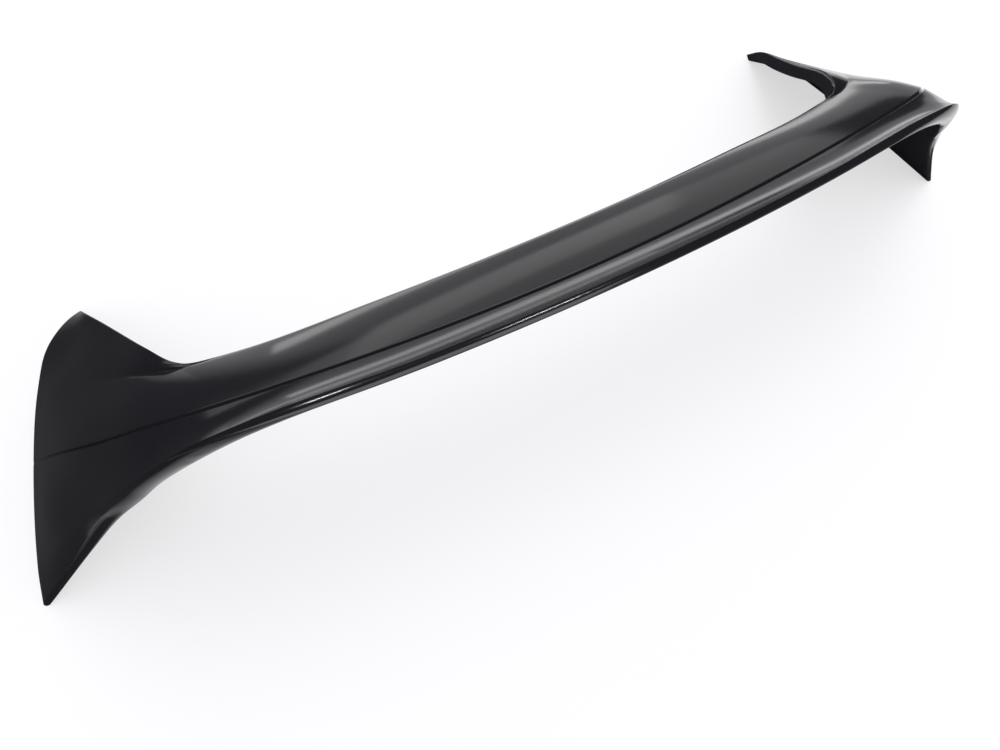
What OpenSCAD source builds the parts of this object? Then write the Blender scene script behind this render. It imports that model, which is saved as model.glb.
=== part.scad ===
// Car rear spoiler: one moulding in gloss black, laid on the floor on the
// rims of its two side fins.
// X runs across the car, Y points to the front of the car, Z is up.

/* [Blade] */

// half the length of the blade, from mid span to where a fin begins
blade_half = 340; // [300:2:360]
// how far the ends of the blade lie ahead of its middle
blade_sweep = 17; // [8:1:26]
// from the front edge of the blade back to the crest of the lip
blade_chord = 94; // [86:1:102]
// from the front edge of the blade back to the styling groove
groove_setback = 64; // [58:1:68]
// height of the blade's front edge at mid span
front_height = 181; // [174:1:188]
// height of the styling groove at mid span
groove_height = 223; // [218:1:228]
// height of the lip's crest at mid span
crest_height = 264; // [256:1:272]
// height of the blade's rounded front edge
nose_height = 11; // [8:1:14]
// thickness of the blade under the styling groove
blade_thickness = 15; // [12:1:18]
// how far the top of the blade is crowned above a flat chord
blade_crown = 3; // [0:0.5:5]
// how far the ducktail strip dips below a flat chord
ducktail_dip = 2.5; // [0:0.5:4]

/* [Lip and groove] */

// height of the sloping band behind the crest
band_height = 6; // [4:0.5:8]
// height of the rolled edge under the band
roll_height = 18; // [15:0.5:21]
// width of the styling groove
groove_width = 4.6; // [3.6:0.2:6]
// depth of the styling groove
groove_depth = 2.6; // [1.6:0.2:3]

/* [Fins] */

// how far a fin reaches out beyond the end of the blade
fin_out = 261; // [240:1:280]
// how far the tip of an arm lies ahead of the end of the blade's front edge
arm_reach = 194; // [180:1:208]
// height of the arm's inner face where it leaves the blade
arm_face = 20; // [16:1:24]
// how far the blade's nose stands proud of the arm, fading out over the fin
nose_step = 3; // [1:0.5:4]
// thickness of a fin's wall
fin_wall = 12; // [9:0.5:14]

/* [Hidden] */

// The part is a loft between guide lines. Each line is given at the same
// stations: three along the blade, from mid span to its end, then six down
// the fin, the last of them on the floor.
fin_skin = 1.226 * fin_out;
function down(share) = blade_half + share * fin_skin;
station = concat([for (t = [0, 0.6, 1]) blade_half * t],
                 [for (share = [0.125, 0.25, 0.39, 0.5625, 0.78, 1]) down(share)]);
blade_end = blade_half;
fin_end = down(1);

// places and rises of the lines that the blade hands on to the fins
front_y = 0.8 * blade_chord;
groove_y = front_y - groove_setback;
crest_y = front_y - blade_chord;
end_y = front_y + blade_sweep;
front_droop = 0.03 * crest_height;
groove_rise = 0.042 * crest_height;

// a guide line's stretch along the blade: its place at mid span, how far its
// end lies ahead of that, and how far it climbs on the way
function along_blade(y, z, sweep, climb) =
    [for (t = [0, 0.6, 1]) [blade_half * t, y + sweep * t * t, z + climb * t * t]];

// a guide line's stretch down the fin, from points that give, in shares of
// the fin's reach, the arm's reach and the crest's height, the distance out
// from the blade's end, the distance ahead of its front edge and the height
function down_fin(line) =
    [for (p = line) [blade_half + p[0] * fin_out, end_y + p[1] * arm_reach, p[2] * crest_height]];

// lower front edge of the blade, then the inner edge of the arm to its tip
front = concat(
    along_blade(front_y + 0.2 * nose_height, front_height - nose_height, blade_sweep, -front_droop),
    down_fin([[0.136, 0.064, 0.633], [0.216, 0.222, 0.581], [0.303, 0.454, 0.417],
              [0.372, 0.639, 0.292], [0.460, 0.866, 0.136], [0.506, 1.000, 0.000]]));
// middle of the blade's nose, then the middle of the arm
belly = concat(
    along_blade(front_y + 0.3 * nose_height, front_height - nose_height / 2, blade_sweep, -front_droop),
    down_fin([[0.146, 0.059, 0.636], [0.245, 0.160, 0.598], [0.360, 0.340, 0.451],
              [0.460, 0.505, 0.311], [0.563, 0.691, 0.144], [0.667, 0.876, 0.000]]));
// upper front edge of the blade, then the crease that fades over the fin
brow = concat(
    along_blade(front_y, front_height, blade_sweep, -front_droop),
    down_fin([[0.146, 0.036, 0.644], [0.272, 0.093, 0.614], [0.418, 0.227, 0.481],
              [0.536, 0.361, 0.341], [0.651, 0.495, 0.189], [0.764, 0.644, 0.000]]));
// styling groove, across the blade and the fin
groove = concat(
    along_blade(groove_y, groove_height, blade_sweep, groove_rise),
    down_fin([[0.153, -0.299, 0.875], [0.280, -0.253, 0.830], [0.410, -0.175, 0.708],
              [0.563, -0.052, 0.523], [0.720, 0.103, 0.273], [0.870, 0.253, 0.000]]));
// crest of the lip, then the soft crease down the fin
crest = concat(
    along_blade(crest_y, crest_height, blade_sweep, 0),
    down_fin([[0.161, -0.474, 0.977], [0.291, -0.459, 0.886], [0.406, -0.433, 0.765],
              [0.521, -0.402, 0.621], [0.739, -0.366, 0.371], [0.977, -0.289, 0.000]]));
// foot of the band behind the crest, then the rear edge of the leg
heel = concat(
    along_blade(crest_y - 1.1 * band_height, crest_height - band_height, blade_sweep, 0),
    down_fin([[0.167, -0.495, 0.949], [0.293, -0.474, 0.864], [0.408, -0.448, 0.741],
              [0.548, -0.412, 0.549], [0.701, -0.423, 0.348], [0.998, -0.469, 0.000]]));
// lower edge of the lip, then the inner rear edge of the leg
under_rear = concat(
    along_blade(crest_y + 0.2 * roll_height, crest_height - band_height - roll_height, 0.7 * blade_sweep, 0),
    down_fin([[0.169, -0.490, 0.867], [0.284, -0.469, 0.777], [0.374, -0.459, 0.678],
              [0.494, -0.433, 0.534], [0.655, -0.438, 0.348], [0.966, -0.474, 0.000]]));

front_rows = 4;
blade_rows = 8;
tail_rows = 7;
blade_columns = 12;
fin_columns = 28;
edge_gap = 1;

function unit(v) = v / max(norm(v), 0.0001);
function mix(a, b, t) = a * (1 - t) + b * t;
function ramp(a, b, v) = let (t = min(max((v - a) / (b - a), 0), 1)) t * t * (3 - 2 * t);
function squash(v, up) = [v[0], v[1], v[2] * up];

// a cubic from p to q that leaves along mp and arrives along mq
function cubic(p, q, mp, mq, t) =
    p * (1 + 2 * t) * (1 - t) * (1 - t) + mp * t * (1 - t) * (1 - t)
    + q * t * t * (3 - 2 * t) - mq * t * t * (1 - t);

// slope of guide line g at its point i; before mid span it is mirrored
function before(g, i) = i > 0 ? g[i - 1] : [-g[1][0], g[1][1], g[1][2]];
function gap_before(i) = i > 0 ? station[i] - station[i - 1] : station[1];
function slope(g, i) =
    i == len(g) - 1 ? (g[i] - g[i - 1]) / gap_before(i) :
    let (h0 = gap_before(i), h1 = gap_before(i + 1),
         d0 = (g[i] - before(g, i)) / h0, d1 = (g[i + 1] - g[i]) / h1)
    (d0 * h1 + d1 * h0) / (h0 + h1);
function on(g, s) =
    let (i = max([for (i = [0:len(station) - 2]) if (s >= station[i]) i]), h = station[i + 1] - station[i])
    cubic(g[i], g[i + 1], slope(g, i) * h, slope(g, i + 1) * h, (s - station[i]) / h);

// direction of a curve that passes smoothly through q on its way from p to r
function through(p, q, r) = unit(unit(q - p) + unit(r - q));

// where each row lies: 0 to 1 front edge to brow, 1 to 2 brow to groove,
// 2 to 3 groove to crest, 3 to 4 crest to heel
function rows(bk, kg, gc) = concat(
    [for (i = [0:2 * front_rows - 2]) i / (2 * front_rows)],
    [1 - min(1.5 / bk, 0.12)],
    [for (i = [0:blade_rows - 1]) 1 + i / blade_rows * (1 - 5 / kg)],
    [for (d = [edge_gap, 0]) 2 - (groove_width / 2 + d) / kg],
    [2],
    [for (d = [0, edge_gap]) 2 + (groove_width / 2 + d) / gc],
    [for (i = [1:tail_rows - 1]) 2 + i / tail_rows],
    [3 - edge_gap / gc, 3, 3.25, 3.6, 4]);

// one closed section at station s: outer skin from the front to the heel,
// round the heel, and back along the inner skin
function section(s) =
    let (f = on(front, s), b = on(belly, s), k = on(brow, s), g = on(groove, s),
         c = on(crest, s), h = on(heel, s), ur = on(under_rear, s),
         fin = ramp(blade_end, down(0.39), s),
         rim = ramp(down(0.75), fin_end, s),
         leg = ramp(down(0.4), down(0.6), s),
         kg = norm(g - k), gc = norm(c - g), bk = norm(k - b), ch = norm(h - c),
         along = on(groove, min(s + 1, fin_end)) - on(groove, min(s, fin_end - 1)),
         up_kg = unit(cross(along, k - g)), up_gc = unit(cross(along, g - c)),
         back = squash(unit(h + ur - g - on(groove, s)), 1 - rim),
         // how smooth the skin runs across the brow, the groove and the crest
         soft_k = ramp(down(0.19), down(0.53), s),
         step = nose_step * ramp(blade_end, down(0.14), s) * (1 - ramp(down(0.19), down(0.47), s)),
         down_bk = -unit(cross(along, b - k)),
         soft_c = ramp(down(0.6), down(0.97), s),
         b_way = through(f, b, k),
         f_out = b - f + [0, 0.45, 0] * norm(b - f) * rim,
         k_way = through(b, k, g), g_way = through(k, g, c), c_way = through(g, c, h),
         k_in = mix(k - b, k_way * bk, soft_k),
         k_out = mix(g - k + up_kg * 4 * blade_crown, k_way * kg, soft_k),
         g_in = mix(g - k - up_kg * 4 * blade_crown, g_way * kg, fin),
         g_out = mix(c - g - up_gc * 4 * ducktail_dip, g_way * gc, fin),
         c_in = mix(c - g + up_gc * 4 * ducktail_dip * (1 - fin), c_way * gc, soft_c),
         c_out = mix(h - c, c_way * ch, soft_c),
         outer = [for (v = rows(bk, kg, gc))
             v < 0.5 ? cubic(f, b, f_out, b_way * norm(b - f), v * 2) + down_bk * step * v * v :
             v < 1 ? cubic(b, k, b_way * bk, k_in, v * 2 - 1) + down_bk * step * v * v :
             v == 2 ? g - squash(unit(up_kg + up_gc), 1 - rim) 
                 * groove_depth * (1 - 0.8 * rim) :
             v < 2 ? cubic(k, g, k_out, g_in, v - 1) :
             v < 3 ? cubic(g, c, g_out, c_in, v - 2) :
             cubic(c, h, c_out, h - c, v - 3) + back * (1 - fin) * 4 * (v - 3) * (4 - v)],
         // inner skin: straight under the blade, one wall away in the fin
         under = mix([0, -0.5, -0.87] * blade_thickness,
                     unit([-0.85, -0.35, -0.5 * (1 - ramp(down(0.39), fin_end, s))]) * fin_wall, fin),
         arm = ramp(blade_end, down(0.16), s),
         tip = min(arm_face * (1 - 0.25 * ramp(down(0.5), down(0.87), s)), f[2]),
         uf = f + mix([0, -5, -5], [-1, -1, -tip], arm),
         uk = k + under, ug = g + under, uc = mix(ug, ur, 0.8),
         ub = mix(uf, uk, 0.5) + (b - mix(f, k, 0.5)) * fin,
         inner = [for (v = rows(bk, kg, gc))
             v < 0.5 ? mix(uf, ub, v * 2) :
             v < 1 ? mix(ub, uk, v * 2 - 1) :
             v < 2 ? mix(uk, ug, v - 1) :
             v < 3 ? mix(ug, uc, v - 2) : mix(uc, ur, v - 3)],
         // a small rebate behind the leg's rear edge, which ends above the rim
         rebate = 4 * leg * (1 - ramp(down(0.94), fin_end, s)),
         n = len(outer))
    concat(outer,
           [mix(h, ur, 0.3) + back * (2 - rebate), mix(h, ur, 0.7) + back * 2],
           [for (i = [n - 1:-1:0]) inner[i]]);

half = concat([for (i = [0:blade_columns - 1]) blade_half * i / blade_columns],
              [for (i = [0:fin_columns]) mix(blade_end, fin_end, i / fin_columns)]);
right_side = [for (s = half) section(s)];
left_side = [for (i = [len(half) - 1:-1:1]) [for (p = right_side[i]) [-p[0], p[1], p[2]]]];
rings = concat(left_side, right_side);
points = [for (r = rings) each r];
ring = len(rings[0]);
skin_rows = (ring - 2) / 2;
y_low = min([for (p = points) p[1]]);
y_high = max([for (p = points) p[1]]);

// rim strip between the outer and the inner skin at one end
function rim_faces(base) = concat(
    [for (i = [0:skin_rows - 2]) [i, i + 1, ring - 2 - i, ring - 1 - i] + base * [1, 1, 1, 1]],
    [[skin_rows - 1, skin_rows, skin_rows + 1, skin_rows + 2] + base * [1, 1, 1, 1]]);

module spoiler_body() {
    last = len(rings) - 1;
    color([0.05, 0.05, 0.06])
    translate([0, -(y_low + y_high) / 2, 0])
    polyhedron(points, concat(
        [for (j = [0:last - 1]) for (i = [0:ring - 1])
            let (a = j * ring + i, b = j * ring + (i + 1) % ring)
            each [[a, b + ring, b], [a, a + ring, b + ring]]],
        [for (q = rim_faces(0)) each [[q[0], q[1], q[2]], [q[0], q[2], q[3]]]],
        [for (q = rim_faces(last * ring)) each [[q[0], q[2], q[1]], [q[0], q[3], q[2]]]]));
}

spoiler_body();
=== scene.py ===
"""Car rear spoiler: one gloss black moulding on a white studio floor."""
from math import cos, radians, sin

import bmesh
import bpy
from bpy.props import FloatProperty, FloatVectorProperty, PointerProperty
from bpy.types import Operator, Panel, PropertyGroup
from mathutils import Matrix, Vector


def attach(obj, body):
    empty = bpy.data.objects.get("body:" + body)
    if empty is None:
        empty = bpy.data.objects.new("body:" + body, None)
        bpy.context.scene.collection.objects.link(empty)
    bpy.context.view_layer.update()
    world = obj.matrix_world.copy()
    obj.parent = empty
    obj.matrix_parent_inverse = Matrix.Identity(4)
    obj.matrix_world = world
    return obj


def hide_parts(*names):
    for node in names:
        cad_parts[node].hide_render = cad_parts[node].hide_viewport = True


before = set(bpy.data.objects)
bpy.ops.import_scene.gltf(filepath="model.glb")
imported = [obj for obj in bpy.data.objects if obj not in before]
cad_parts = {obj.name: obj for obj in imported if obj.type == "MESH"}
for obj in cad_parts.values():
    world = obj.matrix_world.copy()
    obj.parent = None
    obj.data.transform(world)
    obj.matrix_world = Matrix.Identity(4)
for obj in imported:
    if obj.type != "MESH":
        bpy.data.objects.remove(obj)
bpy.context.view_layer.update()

bl_info = {
    "name": "Rear Spoiler",
    "version": (1, 0, 0),
    "blender": (4, 5, 0),
    "location": "3D View > Sidebar > Spoiler",
    "description": "Dresses a moulded car rear spoiler and its white studio",
    "category": "Object",
}

# The camera: its place in metres, how it turns, and its lens in millimetres.
CAMERA_PLACE = Vector((-0.28762, -0.30359, 0.76588))
CAMERA_YAW = radians(47.4806)
CAMERA_PITCH = radians(70.2329)
CAMERA_ROLL = radians(20.2777)
SENSOR_WIDTH = 36.0
FOCAL_LENGTH = 25.2
NEAREST_SEEN = 0.01

# How the solid's loose triangles become a smooth skin.
WELD_DISTANCE = 0.00002
FLAT_WITHIN = radians(60)
SQUARE_WITHIN = radians(100)
EDGE_CRISPNESS = 0.85
SMOOTH_LEVELS = 2

# How far the black wanders, as a share of itself, and how far its finest gloss does.
TINT_SPREAD = 0.15
FINE_DRIFT = 0.02

# The dark curtain leaves the front open. Its lid reaches past it.
CURTAIN_START = radians(105)
CURTAIN_END = radians(405)
CURTAIN_STEPS = 40
LID_REACH = 1.2
LID_SIDES = 48

# A full dark mat lies this high, and a thinner one lower, so that no two share a plane.
MAT_LIFT = 0.0004


class SpoilerPaint(PropertyGroup):
    """Colours and finish of the moulding."""

    colour: FloatVectorProperty(
        name="Colour",
        description="Colour of the moulded black plastic",
        subtype="COLOR", size=3, min=0.0, max=1.0,
        default=(0.010, 0.010, 0.012))
    roughness: FloatProperty(
        name="Roughness",
        description="Roughness of the painted skin",
        subtype="FACTOR", min=0.0, max=1.0, default=0.13)
    roughness_drift: FloatProperty(
        name="Roughness drift",
        description="How far the roughness wanders over the skin",
        min=0.0, max=0.3, default=0.04)
    peel_width: FloatProperty(
        name="Orange peel width",
        description="Width of the paint's slight waves",
        subtype="DISTANCE", unit="LENGTH", min=0.001, max=0.02, default=0.004)
    peel_height: FloatProperty(
        name="Orange peel height",
        description="Height of the paint's slight waves",
        subtype="DISTANCE", unit="LENGTH", min=0.0, max=0.0002, default=0.000006)
    crease_angle: FloatProperty(
        name="Crease angle",
        description="Edges sharper than this stay crisp",
        subtype="ANGLE", min=radians(10), max=radians(120), default=radians(40))


class SpoilerStudio(PropertyGroup):
    """Floor, lights, dark cloths and a painted shadow."""

    floor_colour: FloatVectorProperty(
        name="Floor colour",
        description="Colour of the studio floor",
        subtype="COLOR", size=3, min=0.0, max=1.0,
        default=(0.97, 0.97, 0.98))
    floor_size: FloatProperty(
        name="Floor size",
        description="Side of the square floor",
        subtype="DISTANCE", unit="LENGTH", min=4.0, max=60.0, default=30.0)
    floor_lift: FloatProperty(
        name="Floor lift",
        description="Share of plain white in the floor as it is seen; the rest is lit and shaded",
        subtype="FACTOR", min=0.0, max=1.0, default=0.60)
    dome_strength: FloatProperty(
        name="Dome strength",
        description="Brightness of the light that comes from all round",
        min=0.0, max=3.0, default=1.0)
    ceiling_power: FloatProperty(
        name="Ceiling power",
        description="Power of the soft box overhead",
        subtype="POWER", unit="POWER", min=0.0, max=500.0, default=12.0)
    front_power: FloatProperty(
        name="Front power",
        description="Power of the soft box ahead of the part",
        subtype="POWER", unit="POWER", min=0.0, max=500.0, default=1.6)
    high_power: FloatProperty(
        name="High power",
        description="Power of the soft box high ahead of the part",
        subtype="POWER", unit="POWER", min=0.0, max=500.0, default=14.0)
    low_power: FloatProperty(
        name="Low power",
        description="Power of the soft box that lies on the floor ahead of the part",
        subtype="POWER", unit="POWER", min=0.0, max=500.0, default=0.60)
    rear_power: FloatProperty(
        name="Rear power",
        description="Power of the low soft box behind the part",
        subtype="POWER", unit="POWER", min=0.0, max=500.0, default=45.0)
    strip_power: FloatProperty(
        name="Strip power",
        description="Power of each small strip light that draws a thin line in the gloss",
        subtype="POWER", unit="POWER", min=0.0, max=500.0, default=8.0)
    # The dark cloths' colour, which also paints the shadow under the far fin that the gloss reflects.
    cloth_and_shadow_colour: FloatVectorProperty(
        name="Cloth colour",
        description="Colour of the dark curtain and mats, which the gloss reflects",
        subtype="COLOR", size=3, min=0.0, max=1.0,
        default=(0.06, 0.06, 0.064))
    curtain_radius: FloatProperty(
        name="Curtain radius",
        description="Distance of the dark curtain from the part",
        subtype="DISTANCE", unit="LENGTH", min=1.0, max=10.0, default=2.4)
    curtain_height: FloatProperty(
        name="Curtain height",
        description="Height of the dark curtain",
        subtype="DISTANCE", unit="LENGTH", min=0.5, max=6.0, default=4.0)


class Value:
    """A shader socket that can be used in sums."""

    def __init__(self, wiring, socket):
        self.wiring = wiring
        self.socket = socket

    def _math(self, operation, *terms):
        return self.wiring.add("ShaderNodeMath", {"operation": operation}, *terms)

    def __add__(self, other):
        return self._math("ADD", self, other)

    __radd__ = __add__

    def __sub__(self, other):
        return self._math("SUBTRACT", self, other)

    def __rsub__(self, other):
        return self._math("SUBTRACT", other, self)

    def __mul__(self, other):
        return self._math("MULTIPLY", self, other)

    __rmul__ = __mul__


class Wiring:
    """Adds nodes to one material or world."""

    def __init__(self, owner):
        owner.use_nodes = True
        self.tree = owner.node_tree
        self.tree.nodes.clear()

    def add(self, kind, settings=None, *values, output=0, **named):
        """Adds a node, sets it up, then fills its sockets by place or name. None skips a place."""
        node = self.tree.nodes.new(kind)
        for key, value in (settings or {}).items():
            setattr(node, key, value)
        sockets = dict(enumerate(values))
        sockets.update(named)
        for key, value in sockets.items():
            socket = node.inputs[key]
            if isinstance(value, Value):
                self.tree.links.new(value.socket, socket)
            elif value is not None:
                socket.default_value = value
        return Value(self, node.outputs[output]) if len(node.outputs) else node

    def outlets(self, value, *names):
        """Gives other outputs of the node that a value comes from."""
        return [Value(self, value.socket.node.outputs[name]) for name in names]

    def blend(self, share, first, second):
        """Mixes two colours, whose sockets are the node's seventh and eighth."""
        return self.add("ShaderNodeMix", {"data_type": "RGBA"}, share, *[None] * 5,
                        (*first, 1.0), (*second, 1.0), output=2)

    def seen(self):
        """1 where the camera sees the surface, by itself or in a gloss or a glass."""
        camera, gloss, glass = self.outlets(
            self.add("ShaderNodeLightPath"), "Is Camera Ray", "Is Glossy Ray", "Is Transmission Ray")
        return self.add("ShaderNodeMath", {"operation": "ADD", "use_clamp": True}, camera + gloss, glass)


def gloss_black(paint):
    """Black moulded plastic under a smooth painted skin."""
    material = bpy.data.materials.new("gloss_black_skin")
    w = Wiring(material)
    place = w.add("ShaderNodeTexCoord", output="Object")
    broad = w.add("ShaderNodeTexNoise", {}, Vector=place, Scale=7.0, Detail=3.0)
    fine = w.add("ShaderNodeTexNoise", {}, Vector=place, Scale=60.0, Detail=2.0)
    peel = w.add("ShaderNodeTexNoise", {}, Vector=place, Scale=1.0 / paint.peel_width, Detail=1.0)
    tint = w.blend(broad, [c * (1 - TINT_SPREAD) for c in paint.colour],
                   [c * (1 + TINT_SPREAD) for c in paint.colour])
    rough = paint.roughness + (broad - 0.5) * paint.roughness_drift + (fine - 0.5) * FINE_DRIFT
    bump = w.add("ShaderNodeBump", {}, Strength=1.0, Distance=paint.peel_height, Height=peel)
    skin = w.add("ShaderNodeBsdfPrincipled", {"distribution": "MULTI_GGX"}, **{
        "Base Color": tint, "Roughness": rough, "IOR": 1.45,
        "Specular IOR Level": 0.38, "Normal": bump})
    w.add("ShaderNodeOutputMaterial", {}, Surface=skin)
    return material


def white_paper(studio):
    """Matt white floor with a faint paper grain."""
    material = bpy.data.materials.new("white_floor")
    w = Wiring(material)
    place = w.add("ShaderNodeTexCoord", output="Object")
    grain = w.add("ShaderNodeTexNoise", {}, Vector=place, Scale=900.0, Detail=2.0)
    rough = 0.85 + (grain - 0.5) * 0.1
    bump = w.add("ShaderNodeBump", {}, Strength=0.2, Distance=0.00005, Height=grain)
    lit = w.add("ShaderNodeBsdfPrincipled", {}, **{
        "Base Color": (*studio.floor_colour, 1.0), "Roughness": rough,
        "Specular IOR Level": 0.1, "Normal": bump})
    plain = w.add("ShaderNodeEmission", {}, Color=(1, 1, 1, 1), Strength=1.0)
    skin = w.add("ShaderNodeMixShader", {}, w.seen() * studio.floor_lift, lit, plain)
    w.add("ShaderNodeOutputMaterial", {}, Surface=skin)
    return material


def cloth_and_shadow_skin(w, studio):
    """The matt skin of a dark cloth, and of the painted shadow under the far fin."""
    return w.add("ShaderNodeBsdfPrincipled", {}, **{
        "Base Color": (*studio.cloth_and_shadow_colour, 1.0), "Roughness": 0.9, "Specular IOR Level": 0.0})


def dark_cloth(studio):
    """Matt dark cloth."""
    material = bpy.data.materials.new("dark_cloth")
    w = Wiring(material)
    w.add("ShaderNodeOutputMaterial", {}, Surface=cloth_and_shadow_skin(w, studio))
    return material


def faded_cloth_and_shadow(studio, middle, half_width, turn, fade, weight):
    """Matt dark cloth that thins out towards its right edge; under the far fin the same sheet is a
    painted shadow.
    """
    material = bpy.data.materials.new("faded_cloth_and_shadow")
    w = Wiring(material)
    place = w.add("ShaderNodeTexCoord", output="Object")
    x, y = w.outlets(w.add("ShaderNodeSeparateXYZ", {}, place), "X", "Y")
    across = (x - middle[0]) * cos(turn) + (y - middle[1]) * sin(turn)
    cover = weight * w.add("ShaderNodeMath", {"operation": "MULTIPLY", "use_clamp": True},
                           half_width - across, 1.0 / fade)
    gap = w.add("ShaderNodeBsdfTransparent")
    skin = w.add("ShaderNodeMixShader", {}, cover, gap, cloth_and_shadow_skin(w, studio))
    w.add("ShaderNodeOutputMaterial", {}, Surface=skin)
    return material


def link(name, data):
    """Puts a mesh, a lamp or a lens in the scene as an object at the origin."""
    thing = bpy.data.objects.new(name, data)
    bpy.context.scene.collection.objects.link(thing)
    return thing


def white_floor(studio):
    """A wide square floor."""
    mesh = bpy.data.meshes.new("studio_floor")
    bm = bmesh.new()
    bmesh.ops.create_grid(bm, x_segments=1, y_segments=1, size=studio.floor_size / 2)
    bm.to_mesh(mesh)
    bm.free()
    floor = link("studio_floor", mesh)
    mesh.materials.append(white_paper(studio))


def pale_dome(studio, scene):
    """Even light from all round, plain white where it is seen."""
    world = bpy.data.worlds.new("studio_dome")
    scene.world = world
    w = Wiring(world)
    dome = w.add("ShaderNodeBackground", {}, Color=(0.96, 0.95, 1, 1), Strength=studio.dome_strength)
    white = w.add("ShaderNodeBackground", {}, Color=(1, 1, 1, 1), Strength=1.0)
    both = w.add("ShaderNodeMixShader", {}, w.seen(), dome, white)
    w.add("ShaderNodeOutputWorld", {}, Surface=both)


def soft_box(name, place, target, width, depth, power, gloss_only=True):
    """A rectangular lamp aimed at a point, which shows only in the gloss or only lights the scene."""
    lamp = bpy.data.lights.new(name, "AREA")
    lamp.shape = "RECTANGLE"
    lamp.size = width
    lamp.size_y = depth
    lamp.energy = power
    thing = link(name, lamp)
    thing.visible_diffuse = not gloss_only
    thing.visible_glossy = gloss_only
    aim = (Vector(target) - Vector(place)).to_track_quat("-Z", "Y")
    thing.matrix_world = Matrix.Translation(Vector(place)) @ aim.to_matrix().to_4x4()


def soft_boxes(studio):
    """One lamp overhead lights the floor. The others draw the long highlights."""
    soft_box("ceiling_box", place=(0.5, 0.9, 2.2), target=(0, 0, 0.1),
             width=1.2, depth=1.0, power=studio.ceiling_power, gloss_only=False)
    soft_box("front_box", place=(0.75, 2.1, 0.25), target=(0, 0, 0.2),
             width=1.2, depth=0.6, power=studio.front_power)
    soft_box("high_box", place=(0, 1.9, 1.75), target=(0, 0, 0.2),
             width=2.4, depth=0.9, power=studio.high_power)
    soft_box("low_box", place=(0.33, 0.325, 0.01), target=(0.33, 0.225, 0.3),
             width=1.24, depth=0.11, power=studio.low_power)
    soft_box("rear_box", place=(0.9, -2.2, 0.5), target=(0.9, 0, 0.2),
             width=4.0, depth=1.0, power=studio.rear_power)
    soft_box("left_strip", place=(-0.38, -1.62, 1.95), target=(-0.31, -0.14, 0.26),
             width=0.25, depth=0.03, power=studio.strip_power)
    soft_box("right_strip", place=(0.62, -1.75, 1.75), target=(-0.05, -0.15, 0.26),
             width=0.4, depth=0.03, power=studio.strip_power)


def hang(name, mesh, material):
    """Puts a dark sheet in the studio, where it shows only in the part's gloss. Most are cloths; under
    the far fin it is a painted shadow.
    """
    cloth = link(name, mesh)
    mesh.materials.append(material)
    cloth.visible_camera = False
    cloth.visible_diffuse = False
    cloth.visible_shadow = False


def dark_curtain(studio):
    """A cloth that hangs round the part under a dark lid, open in front of it."""
    radius = studio.curtain_radius
    mesh = bpy.data.meshes.new("dark_curtain")
    bm = bmesh.new()
    foot = bm.verts.new((radius * cos(CURTAIN_START), radius * sin(CURTAIN_START), 0))
    bmesh.ops.spin(bm, geom=[foot], cent=(0, 0, 0), axis=(0, 0, 1),
                   angle=CURTAIN_END - CURTAIN_START, steps=CURTAIN_STEPS)
    rail = bmesh.ops.extrude_edge_only(bm, edges=bm.edges)["geom"]
    bmesh.ops.translate(bm, vec=(0, 0, studio.curtain_height),
                        verts=[part for part in rail if isinstance(part, bmesh.types.BMVert)])
    bmesh.ops.create_circle(bm, cap_ends=True, segments=LID_SIDES, radius=LID_REACH * radius,
                            matrix=Matrix.Translation((0, 0, studio.curtain_height)))
    bm.to_mesh(mesh)
    bm.free()
    hang("dark_curtain", mesh, dark_cloth(studio))


def dark_mat_and_shadow(studio, name, middle, half_width, half_depth, turn, fade, weight):
    """A dark sheet that lies on the floor beside or under the part and thins out to its right. Beside
    the part it is a cloth; under the far fin it is a painted shadow.
    """
    mesh = bpy.data.meshes.new(name)
    bm = bmesh.new()
    bmesh.ops.create_grid(bm, x_segments=1, y_segments=1, size=1.0)
    bmesh.ops.scale(bm, vec=(half_width, half_depth, 1), verts=bm.verts)
    bmesh.ops.rotate(bm, cent=(0, 0, 0), matrix=Matrix.Rotation(turn, 3, "Z"), verts=bm.verts)
    bmesh.ops.translate(bm, vec=(*middle, MAT_LIFT * weight), verts=bm.verts)
    bm.to_mesh(mesh)
    bm.free()
    hang(name, mesh, faded_cloth_and_shadow(studio, middle, half_width, turn, fade, weight))


def dark_cloths_and_shadow(studio):
    """The curtain, and the mats that keep the white floor out of the fins and the blade. The right mat
    is a painted shadow: the far fin's shadow on the floor, as the gloss shows it.
    """
    dark_curtain(studio)
    dark_mat_and_shadow(studio, "left_mat", middle=(-1.672, 1.424), half_width=1.6, half_depth=2.4,
             turn=radians(-15.5), fade=0.14, weight=1.0)
    # Painted shadow: a dark sheet under the far fin that stands in for the fin's own shadow on the
    # floor, seen only in the gloss.
    dark_mat_and_shadow(studio, "far_fin_painted_shadow", middle=(0.46, 0.03), half_width=0.14, half_depth=0.24,
             turn=radians(16.3), fade=0.02, weight=1.0)
    dark_mat_and_shadow(studio, "front_mat", middle=(1.6, 1.2), half_width=1.0, half_depth=2.0,
             turn=radians(90), fade=0.3, weight=0.45)


def photo_camera(scene):
    """The camera, which looks down on the left fin from behind."""
    lens = bpy.data.cameras.new("camera")
    lens.sensor_width = SENSOR_WIDTH
    lens.lens = FOCAL_LENGTH
    lens.clip_start = NEAREST_SEEN
    camera = link("camera", lens)
    turn = (Matrix.Rotation(-CAMERA_YAW, 3, "Z")
            @ Matrix.Rotation(radians(90) - CAMERA_PITCH, 3, "X")
            @ Matrix.Rotation(CAMERA_ROLL, 3, "Z"))
    camera.matrix_world = Matrix.Translation(CAMERA_PLACE) @ turn.to_4x4()
    scene.camera = camera


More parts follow.
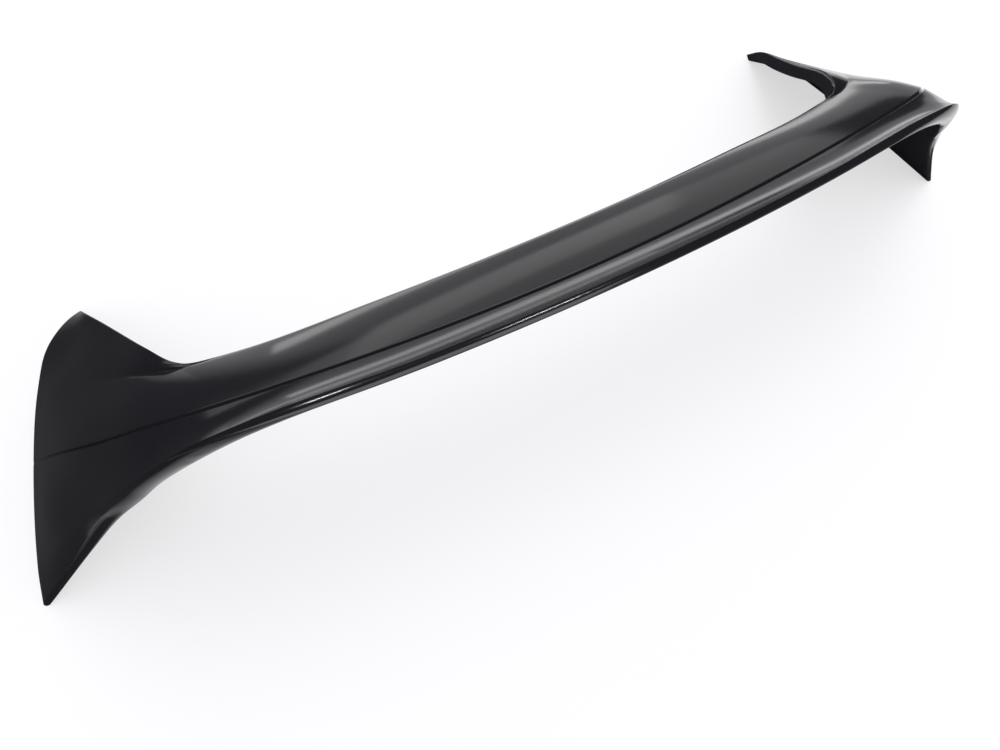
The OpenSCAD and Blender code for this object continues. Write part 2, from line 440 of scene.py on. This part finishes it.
class SPOILER_OT_moulding(Operator):
    """Makes the smooth, painted moulding"""

    bl_idname = "spoiler.moulding"
    bl_label = "Moulding"

    def execute(self, context):
        paint = context.scene.spoiler_paint
        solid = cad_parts["spoiler_body"]
        mesh = bpy.data.meshes.new("spoiler_moulding")
        bm = bmesh.new()
        bm.from_mesh(solid.data)
        bmesh.ops.remove_doubles(bm, verts=bm.verts, dist=WELD_DISTANCE)
        bmesh.ops.join_triangles(
            bm, faces=bm.faces, cmp_seam=False, cmp_sharp=False, cmp_uvs=False,
            cmp_vcols=False, cmp_materials=False,
            angle_face_threshold=FLAT_WITHIN, angle_shape_threshold=SQUARE_WITHIN)
        crease = bm.edges.layers.float.new("crease_edge")
        for edge in bm.edges:
            edge[crease] = EDGE_CRISPNESS if edge.calc_face_angle(0.0) > paint.crease_angle else 0.0
        for face in bm.faces:
            face.smooth = True
            face.material_index = 0
        bm.to_mesh(mesh)
        bm.free()
        moulding = link("spoiler_moulding", mesh)
        mesh.materials.clear()
        mesh.materials.append(gloss_black(paint))
        smooth = moulding.modifiers.new("smooth_skin", "SUBSURF")
        smooth.levels = SMOOTH_LEVELS
        smooth.render_levels = SMOOTH_LEVELS
        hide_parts("spoiler_body")
        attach(moulding, "root")
        return {"FINISHED"}


class SPOILER_OT_studio(Operator):
    """Makes the white floor, the soft lights, the dark cloths, the painted shadow under the far fin and
    the camera
    """

    bl_idname = "spoiler.studio"
    bl_label = "Studio"

    def execute(self, context):
        scene = context.scene
        studio = scene.spoiler_studio
        white_floor(studio)
        pale_dome(studio, scene)
        soft_boxes(studio)
        dark_cloths_and_shadow(studio)
        photo_camera(scene)
        scene.view_settings.view_transform = "Standard"
        return {"FINISHED"}


class SPOILER_PT_panel(Panel):
    """Lists the spoiler's settings and steps"""

    bl_idname = "SPOILER_PT_panel"
    bl_label = "Rear Spoiler"
    bl_space_type = "VIEW_3D"
    bl_region_type = "UI"
    bl_category = "Spoiler"

    def draw(self, context):
        column = self.layout.column(align=True)
        for group in (context.scene.spoiler_paint, context.scene.spoiler_studio):
            for name in group.bl_rna.properties.keys():
                if name not in {"rna_type", "name"}:
                    column.prop(group, name)
        for step in STEPS:
            column.operator(step.bl_idname)


STEPS = (SPOILER_OT_moulding, SPOILER_OT_studio)
CLASSES = (SpoilerPaint, SpoilerStudio, *STEPS, SPOILER_PT_panel)


def register():
    for cls in CLASSES:
        bpy.utils.register_class(cls)
    bpy.types.Scene.spoiler_paint = PointerProperty(type=SpoilerPaint)
    bpy.types.Scene.spoiler_studio = PointerProperty(type=SpoilerStudio)


def unregister():
    del bpy.types.Scene.spoiler_studio
    del bpy.types.Scene.spoiler_paint
    for cls in reversed(CLASSES):
        bpy.utils.unregister_class(cls)


def main():
    register()
    bpy.ops.spoiler.moulding()
    bpy.ops.spoiler.studio()


if __name__ == "__main__":
    main()
